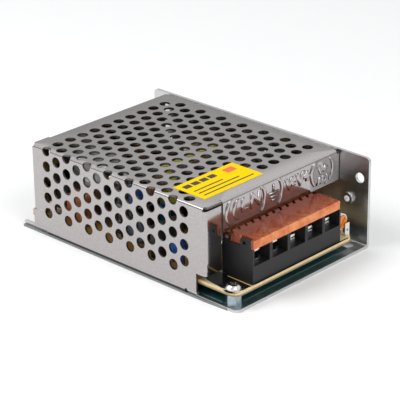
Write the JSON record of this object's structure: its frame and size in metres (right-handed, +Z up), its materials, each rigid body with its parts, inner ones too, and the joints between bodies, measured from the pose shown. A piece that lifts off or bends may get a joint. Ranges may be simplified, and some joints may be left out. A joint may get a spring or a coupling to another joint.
{
  "type": "power supply",
  "caption": "Open-case switching power supply: folded perforated cover over a bent sheet base, barrier terminal block with hinged amber lid at one end.",
  "frame": {"origin": "centre of the bottom face of the overall box", "axes": "+X towards the terminal end, +Y towards the tall plain side wall, +Z up"},
  "size_m": [0.11, 0.0734, 0.0361],
  "materials": {
    "bare_aluminium": "mill finish, semi-bright",
    "zinc_steel": "satin zinc-coated sheet steel",
    "zinc_screw": "zinc plated",
    "nickel_screw": "nickel plated",
    "blue_zinc": "bluish zinc plated",
    "tinned_brass": "bright tin over brass",
    "yellow_film": "printed film, glossy",
    "green_sheet": "thin dark green insulating sheet",
    "phenolic_board": "paper-phenolic board",
    "black_plastic": "moulded, fine grain",
    "amber_plastic": "translucent amber moulding",
    "white_ceramic": "white moulding",
    "orange_plastic": "moulded",
    "fuse_glass": "glass tube with metal caps",
    "black_coating": "dipped coating",
    "blue_coating": "dipped coating",
    "brown_coating": "dipped coating",
    "grey_box": "potted box",
    "black_sleeve": "shrunk sleeve",
    "ferrite": "sintered ferrite",
    "copper_wire": "enamelled copper",
    "black_epoxy": "moulded epoxy",
    "white_epoxy": "moulded epoxy",
    "dark_tape": "wound tape",
    "yellow_tape": "polyester tape",
    "grey_silicone": "silicone pad",
    "yellow_powder_core": "coated iron powder ring",
    "resistor_coating": "dipped coating"
  },
  "bodies": {
    "root": {"base_chassis": "bare_aluminium", "perforated_cover": "zinc_steel", "cover_screws": "zinc_screw", "plain_label": "yellow_film", "insulation_sheet": "green_sheet", "board_standoffs": "blue_zinc", "board_screws": "nickel_screw", "circuit_board": "phenolic_board", "terminal_block": "black_plastic", "terminal_plates": "tinned_brass", "trimmer_body": "white_ceramic", "trimmer_bracket": "tinned_brass", "input_fuse": "fuse_glass", "fuse_clips": "tinned_brass", "inrush_thermistor": "black_coating", "varistor": "blue_coating", "safety_capacitors": "blue_coating", "filter_capacitor": "grey_box", "snubber_capacitor": "brown_coating", "small_capacitor": "black_sleeve", "line_choke_core": "ferrite", "line_choke_windings": "copper_wire", "bridge_rectifier": "black_epoxy", "bulk_capacitor": "black_sleeve", "transistor_heatsink": "bare_aluminium", "switching_transistor": "black_epoxy", "transistor_screw": "zinc_screw", "main_transformer_core": "ferrite", "main_transformer_winding": "dark_tape", "main_transformer_tape": "yellow_tape", "output_rectifier": "black_epoxy", "rectifier_pad": "grey_silicone", "rectifier_screw": "zinc_screw", "output_choke_core": "yellow_powder_core", "output_choke_winding": "copper_wire", "output_capacitors": "black_sleeve", "optocoupler": "white_epoxy", "control_chip": "black_epoxy", "shunt_regulator": "black_epoxy", "power_resistors": "resistor_coating", "small_diodes": "black_epoxy"},
    "lid": {"terminal_cover": "amber_plastic"},
    "rotor": {"trimmer_rotor": "orange_plastic"},
    "clamp_1": {"clamp_washer_1": "tinned_brass"},
    "screw_1": {"terminal_screw_1": "nickel_screw"},
    "clamp_2": {"clamp_washer_2": "tinned_brass"},
    "screw_2": {"terminal_screw_2": "nickel_screw"},
    "clamp_3": {"clamp_washer_3": "tinned_brass"},
    "screw_3": {"terminal_screw_3": "nickel_screw"},
    "clamp_4": {"clamp_washer_4": "tinned_brass"},
    "screw_4": {"terminal_screw_4": "nickel_screw"},
    "clamp_5": {"clamp_washer_5": "tinned_brass"},
    "screw_5": {"terminal_screw_5": "nickel_screw"}
  },
  "joints": [
    {"name": "lid_hinge", "type": "hinge", "parent": "root", "child": "lid", "pos_m": [0.0406, -0.0015, 0.0217], "axis": [0, -1, 0], "range_deg": [0, 36]},
    {"name": "trimmer_turn", "type": "hinge", "parent": "root", "child": "rotor", "pos_m": [0.0506, 0.0259, 0.0127], "axis": [1, 0, 0], "range_deg": [-105, 105]},
    {"name": "clamp_1_travel", "type": "slide", "parent": "root", "child": "clamp_1", "axis": [0, 0, 1], "range_m": [-0.0029, 0.0001]},
    {"name": "screw_1_turn", "type": "hinge", "parent": "clamp_1", "child": "screw_1", "pos_m": [0.046, -0.0205, 0.0184], "axis": [0, 0, 1], "range_deg": [-2088, 72]},
    {"name": "clamp_2_travel", "type": "slide", "parent": "root", "child": "clamp_2", "axis": [0, 0, 1], "range_m": [-0.0029, 0.0001]},
    {"name": "screw_2_turn", "type": "hinge", "parent": "clamp_2", "child": "screw_2", "pos_m": [0.046, -0.011, 0.0184], "axis": [0, 0, 1], "range_deg": [-2088, 72]},
    {"name": "clamp_3_travel", "type": "slide", "parent": "root", "child": "clamp_3", "axis": [0, 0, 1], "range_m": [-0.0002, 0.0028]},
    {"name": "screw_3_turn", "type": "hinge", "parent": "clamp_3", "child": "screw_3", "pos_m": [0.046, -0.0015, 0.0157], "axis": [0, 0, 1], "range_deg": [-144, 2016]},
    {"name": "clamp_4_travel", "type": "slide", "parent": "root", "child": "clamp_4", "axis": [0, 0, 1], "range_m": [-0.0002, 0.0028]},
    {"name": "screw_4_turn", "type": "hinge", "parent": "clamp_4", "child": "screw_4", "pos_m": [0.046, 0.008, 0.0157], "axis": [0, 0, 1], "range_deg": [-144, 2016]},
    {"name": "clamp_5_travel", "type": "slide", "parent": "root", "child": "clamp_5", "axis": [0, 0, 1], "range_m": [-0.0002, 0.0028]},
    {"name": "screw_5_turn", "type": "hinge", "parent": "clamp_5", "child": "screw_5", "pos_m": [0.046, 0.0175, 0.0157], "axis": [0, 0, 1], "range_deg": [-144, 2016]}
  ],
  "couplings": [
    {"joint": "screw_1_turn", "follows": "clamp_1_travel", "rad_per_m": 12566},
    {"joint": "screw_2_turn", "follows": "clamp_2_travel", "rad_per_m": 12566},
    {"joint": "screw_3_turn", "follows": "clamp_3_travel", "rad_per_m": 12566},
    {"joint": "screw_4_turn", "follows": "clamp_4_travel", "rad_per_m": 12566},
    {"joint": "screw_5_turn", "follows": "clamp_5_travel", "rad_per_m": 12566}
  ]
}
